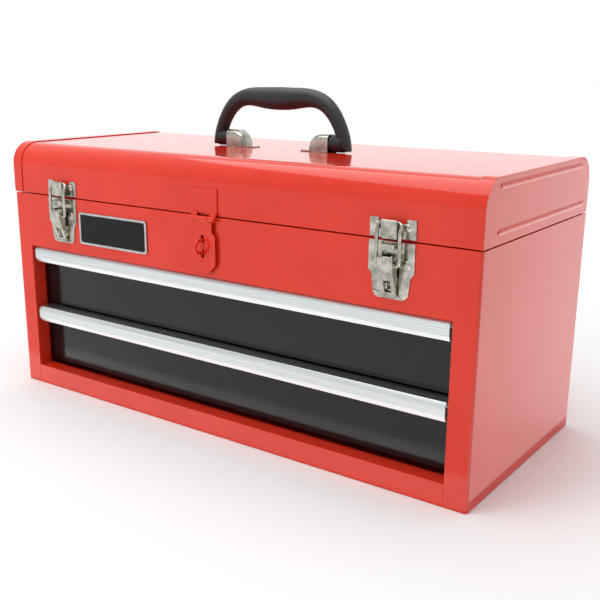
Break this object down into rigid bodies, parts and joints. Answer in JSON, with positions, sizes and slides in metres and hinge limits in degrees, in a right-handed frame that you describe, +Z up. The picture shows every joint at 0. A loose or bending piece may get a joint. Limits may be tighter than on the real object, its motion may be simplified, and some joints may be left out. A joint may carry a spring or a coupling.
{
  "type": "portable tool box with drawers",
  "caption": "Portable steel tool box with a hinged lid, folding top handle, draw latches, padlock hasp and full-width drawers under a top compartment.",
  "frame": {"origin": "middle of the case's flat underside", "axes": "+X to the right seen from the front, -Y to the front (drawers and latches), +Z up"},
  "size_m": [0.5098, 0.2331, 0.305],
  "materials": {
    "red_enamel": "gloss enamel on sheet steel",
    "black_enamel": "gloss black enamel on sheet steel",
    "anodised_aluminium": "satin anodised extrusion",
    "zinc_steel": "zinc-plated steel",
    "nickel_plate": "bright nickel plate on pressed steel",
    "moulded_grip": "fine-grained moulded plastic",
    "badge_silver": "polished",
    "badge_black": "gloss black, bare"
  },
  "bodies": {
    "case": {"body_wrap": "red_enamel", "back_panel": "red_enamel", "bottom_pan": "red_enamel", "till_floor": "red_enamel", "upper_runner_left": "zinc_steel", "upper_runner_right": "zinc_steel", "lower_runner_left": "zinc_steel", "lower_runner_right": "zinc_steel", "hinge_lower_leaf": "red_enamel", "hinge_pin": "zinc_steel", "latch_base_left": "nickel_plate", "latch_base_right": "nickel_plate", "latch_pin_left": "nickel_plate", "latch_pin_right": "nickel_plate", "base_rivets_left": "nickel_plate", "base_rivets_right": "nickel_plate", "hasp_staple": "red_enamel", "badge_frame": "badge_silver", "badge_panel": "badge_black"},
    "lid": {"lid_top": "red_enamel", "lid_end_left": "red_enamel", "lid_end_right": "red_enamel", "hinge_upper_leaf": "red_enamel", "latch_keeper_left": "nickel_plate", "latch_keeper_right": "nickel_plate", "keeper_rivets_left": "nickel_plate", "keeper_rivets_right": "nickel_plate", "hasp_upper_leaf": "red_enamel", "hasp_pin": "red_enamel", "handle_bracket_left": "nickel_plate", "handle_bracket_right": "nickel_plate"},
    "handle": {"carry_handle": "moulded_grip"},
    "upper_drawer": {"upper_drawer_tray": "black_enamel", "upper_drawer_face": "black_enamel", "upper_drawer_pull": "anodised_aluminium"},
    "lower_drawer": {"lower_drawer_tray": "black_enamel", "lower_drawer_face": "black_enamel", "lower_drawer_pull": "anodised_aluminium"},
    "lever_left": {"latch_lever_left": "nickel_plate"},
    "bail_left": {"latch_bail_left": "nickel_plate"},
    "lever_right": {"latch_lever_right": "nickel_plate"},
    "bail_right": {"latch_bail_right": "nickel_plate"},
    "hasp": {"hasp_leaf": "red_enamel"}
  },
  "joints": [
    {"name": "lid_hinge", "type": "hinge", "parent": "case", "child": "lid", "pos_m": [0, 0.1094, 0.2005], "axis": [-1, 0, 0], "range_deg": [0, 100]},
    {"name": "handle_fold", "type": "hinge", "parent": "lid", "child": "handle", "pos_m": [0, 0, 0.257], "axis": [1, 0, 0], "range_deg": [-85, 85]},
    {"name": "upper_drawer_slide", "type": "slide", "parent": "case", "child": "upper_drawer", "axis": [0, -1, 0], "range_m": [0, 0.15]},
    {"name": "lower_drawer_slide", "type": "slide", "parent": "case", "child": "lower_drawer", "axis": [0, -1, 0], "range_m": [0, 0.15]},
    {"name": "lever_left_swing", "type": "hinge", "parent": "case", "child": "lever_left", "pos_m": [-0.1825, -0.115, 0.188], "axis": [-1, 0, 0], "range_deg": [0, 100]},
    {"name": "bail_left_swing", "type": "hinge", "parent": "lever_left", "child": "bail_left", "pos_m": [-0.1825, -0.1144, 0.1825], "axis": [-1, 0, 0], "range_deg": [-84, 0]},
    {"name": "lever_right_swing", "type": "hinge", "parent": "case", "child": "lever_right", "pos_m": [0.1825, -0.115, 0.188], "axis": [-1, 0, 0], "range_deg": [0, 100]},
    {"name": "bail_right_swing", "type": "hinge", "parent": "lever_right", "child": "bail_right", "pos_m": [0.1825, -0.1144, 0.1825], "axis": [-1, 0, 0], "range_deg": [-84, 0]},
    {"name": "hasp_swing", "type": "hinge", "parent": "lid", "child": "hasp", "pos_m": [0, -0.111, 0.1984], "axis": [-1, 0, 0], "range_deg": [0, 170]}
  ],
  "couplings": [
    {"joint": "bail_left_swing", "follows": "lever_left_swing", "ratio": -0.84},
    {"joint": "bail_right_swing", "follows": "lever_right_swing", "ratio": -0.84}
  ]
}
